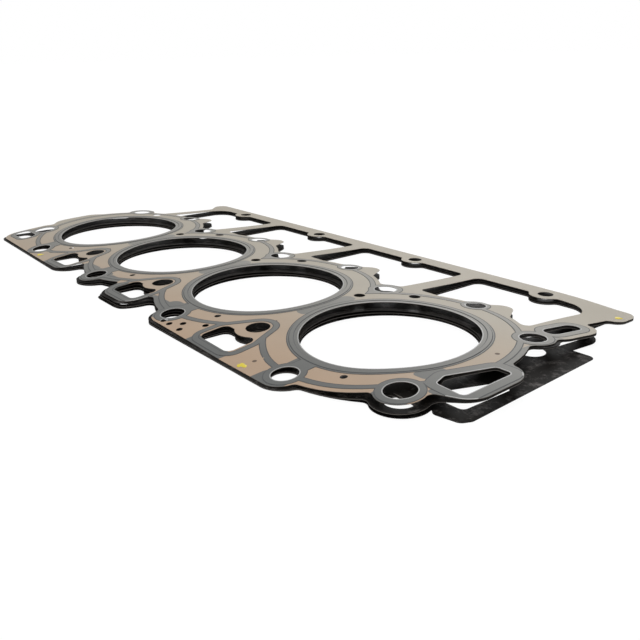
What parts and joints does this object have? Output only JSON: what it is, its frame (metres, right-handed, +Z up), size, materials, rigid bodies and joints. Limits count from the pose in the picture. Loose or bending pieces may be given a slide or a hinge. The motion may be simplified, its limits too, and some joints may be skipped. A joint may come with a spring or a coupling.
{
  "type": "cylinder head gasket",
  "caption": "Multi-layer steel head gasket for a bank of bores, with printed sealing bands, oil drain windows, a ladder of open bays along one side and a spare tab on the bottom sheet.",
  "frame": {"origin": "on the underside of the bottom sheet, at the middle of the web between the two middle bores", "axes": "+X along the bore row towards the end with the tab, +Y across it towards the ladder, +Z up towards the head"},
  "size_m": [0.5264, 0.2265, 0.0091],
  "materials": {
    "black_coating": "thin satin elastomer coating on spring steel",
    "spacer_steel": "thin dark coating on plain sheet",
    "tan_coating": "matt tan coating",
    "sealing_print": "matt grey printed elastomer",
    "ring_steel": "bright stainless",
    "rivet_steel": "steel with a yellow inspection dab"
  },
  "bodies": {
    "root": {"bottom_layer": "black_coating", "spacer_layer": "spacer_steel", "stopper_layer": "black_coating", "top_layer": "tan_coating", "top_sealing_print": "sealing_print", "rivets": "rivet_steel", "stopper_ring_1": "ring_steel", "stopper_ring_2": "ring_steel", "stopper_ring_3": "ring_steel", "stopper_ring_4": "ring_steel"}
  },
  "joints": []
}
